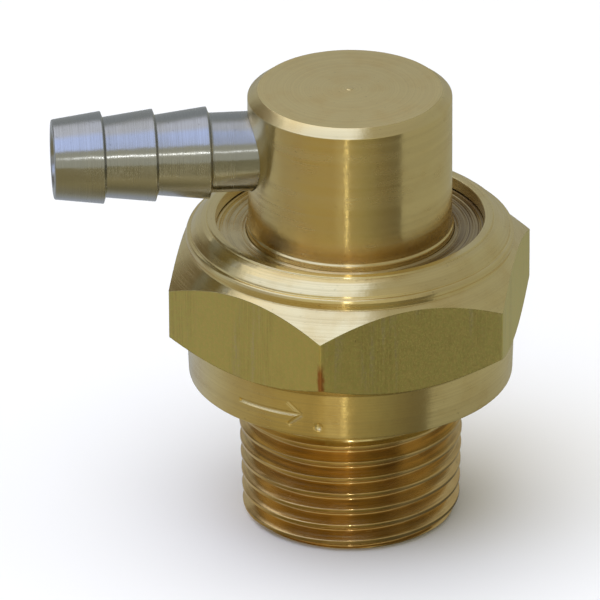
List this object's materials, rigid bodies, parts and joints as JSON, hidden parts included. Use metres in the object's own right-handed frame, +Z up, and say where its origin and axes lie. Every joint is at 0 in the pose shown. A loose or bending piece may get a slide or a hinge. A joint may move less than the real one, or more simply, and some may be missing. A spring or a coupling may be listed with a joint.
{
  "type": "automatic air vent",
  "caption": "Float-type automatic air vent: hexagonal brass body with a taper pipe thread below and a swivelling brass cap with a steel hose tail above.",
  "frame": {"origin": "on the pipe thread's axis, in the plane of the collar's flat underside", "axes": "+Z up along the thread's axis towards the cap, -X along the hose tail at rest"},
  "size_m": [0.036, 0.028, 0.0345],
  "materials": {
    "body_brass": "turned and drawn brass, satin, bright on the turned cones",
    "cap_brass": "fine turned brass, satin, matt on the top",
    "ring_brass": "faced brass with concentric turning marks",
    "inner_brass": "machined brass",
    "tail_steel": "stainless steel, finely turned",
    "stainless": "stainless steel",
    "spring_steel": "spring steel",
    "seal_rubber": "black seal rubber, matt",
    "glide_plastic": "white low-friction plastic",
    "float_plastic": "cream moulded plastic"
  },
  "bodies": {
    "vent_body": {"hex_body": "body_brass", "retaining_ring": "ring_brass", "upper_glide_washer": "glide_plastic", "lower_glide_washer": "glide_plastic", "seat_carrier": "inner_brass", "carrier_o_ring": "seal_rubber", "carrier_circlip": "spring_steel", "valve_seat": "stainless", "seat_gasket": "glide_plastic", "lever_pin": "stainless", "inlet_screen": "stainless", "screen_snap_ring": "spring_steel"},
    "swivel_head": {"swivel_cap": "cap_brass", "hose_barb": "tail_steel", "swivel_o_ring": "seal_rubber"},
    "float_unit": {"float": "float_plastic", "float_link": "stainless"},
    "lever_arm": {"lever": "stainless"},
    "stem_unit": {"valve_stem": "inner_brass", "valve_seal": "seal_rubber", "spring_collar": "stainless", "valve_spring": "spring_steel"}
  },
  "joints": [
    {"name": "cap_swivel", "type": "hinge", "parent": "vent_body", "child": "swivel_head", "pos_m": [0, 0, 0.01], "axis": [0, 0, 1], "continuous": true},
    {"name": "float_rise", "type": "slide", "parent": "vent_body", "child": "float_unit", "axis": [0, 0, 1], "range_m": [0, 0.0018]},
    {"name": "lever_swing", "type": "hinge", "parent": "vent_body", "child": "lever_arm", "pos_m": [0.0052, 0, 0.0035], "axis": [0, 1, 0], "range_deg": [0, 11]},
    {"name": "stem_lift", "type": "slide", "parent": "vent_body", "child": "stem_unit", "axis": [0, 0, 1], "range_m": [0, 0.0005], "deforming": ["valve_spring"]}
  ],
  "couplings": [
    {"joint": "lever_swing", "follows": "float_rise", "rad_per_m": 106.1},
    {"joint": "stem_lift", "follows": "float_rise", "ratio": 0.2765}
  ]
}
